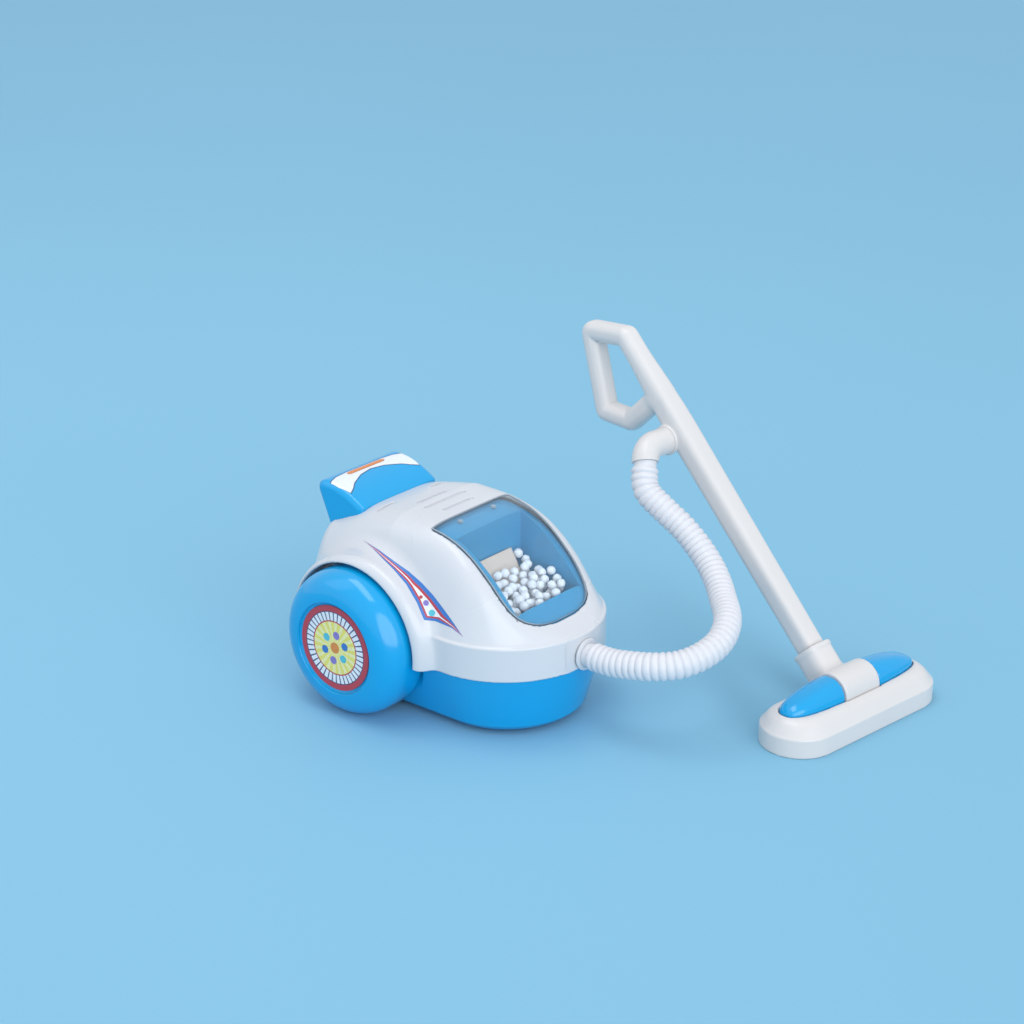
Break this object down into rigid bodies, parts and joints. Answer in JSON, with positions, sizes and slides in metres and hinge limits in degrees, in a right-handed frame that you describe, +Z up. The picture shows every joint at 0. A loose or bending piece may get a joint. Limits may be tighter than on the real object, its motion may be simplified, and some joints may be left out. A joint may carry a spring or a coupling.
{
  "type": "toy vacuum cleaner",
  "caption": "Toy canister vacuum cleaner with round rear wheels, a clear window over foam beads, a ribbed hose, a wand with a hand loop and a tilting floor head.",
  "frame": {"origin": "on the floor, under the middle of the toy's box without its hose", "axes": "+X forward, the way the canister's nose points; +Y to its left; +Z up"},
  "size_m": [0.2428, 0.1952, 0.1503],
  "materials": {
    "white_plastic": "gloss",
    "blue_plastic": "gloss",
    "clear_plastic": "clear",
    "hose_white": "satin",
    "hub_print": "printed",
    "foam": "rough",
    "cream_card": "satin",
    "steel": "satin",
    "dark_plastic": "satin",
    "cell_wrap": "gloss",
    "lead_cover": "satin"
  },
  "bodies": {
    "canister": {"lower_casing": "blue_plastic", "upper_casing": "white_plastic", "rear_hood": "blue_plastic", "window": "clear_plastic", "window_pegs": "dark_plastic", "dust_tray": "blue_plastic", "foam_beads": "foam", "bead_flap": "cream_card", "motor": "steel", "motor_bracket": "blue_plastic", "battery_cells": "cell_wrap", "battery_contacts": "steel", "battery_door": "blue_plastic", "battery_door_screw": "steel", "switch_body": "dark_plastic", "wiring": "lead_cover", "roller_pin": "steel", "casing_screws": "steel", "hose_inlet": "white_plastic", "hose": "hose_white"},
    "rear_wheels": {"rear_axle": "steel", "wheel_right": "blue_plastic", "wheel_left": "blue_plastic", "hub_disc_right": "hub_print", "hub_disc_left": "hub_print"},
    "front_roller": {"front_roller": "dark_plastic"},
    "fan": {"motor_shaft": "steel", "fan_impeller": "white_plastic"},
    "switch": {"switch_slider": "dark_plastic"},
    "wand": {"hose_elbow": "white_plastic", "wand": "white_plastic", "neck": "white_plastic"},
    "floor_head": {"neck_pin": "steel", "head_shell": "white_plastic", "head_sole": "white_plastic", "head_insert_right": "blue_plastic", "head_insert_left": "blue_plastic", "head_screws": "steel"}
  },
  "joints": [
    {"name": "wheel_spin", "type": "hinge", "parent": "canister", "child": "rear_wheels", "pos_m": [-0.07745, -0.03479, 0.034], "axis": [0, 1, 0], "continuous": true},
    {"name": "roller_spin", "type": "hinge", "parent": "canister", "child": "front_roller", "pos_m": [-0.01145, -0.03479, 0.006], "axis": [0, 1, 0], "continuous": true},
    {"name": "fan_spin", "type": "hinge", "parent": "canister", "child": "fan", "pos_m": [-0.04785, -0.03479, 0.054], "axis": [1, 0, 0], "continuous": true},
    {"name": "switch_slide", "type": "slide", "parent": "canister", "child": "switch", "axis": [1, 0, 0], "range_m": [0, 0.004]},
    {"name": "wand_push", "type": "slide", "parent": "canister", "child": "wand", "axis": [0.9903, -0.1392, 0], "range_m": [-0.02, 0.02], "deforming": ["hose"]},
    {"name": "head_tilt", "type": "hinge", "parent": "wand", "child": "floor_head", "pos_m": [0.09856, 0.04752, 0.0155], "axis": [-0.1392, -0.9903, 0], "range_deg": [-15, 35]}
  ]
}
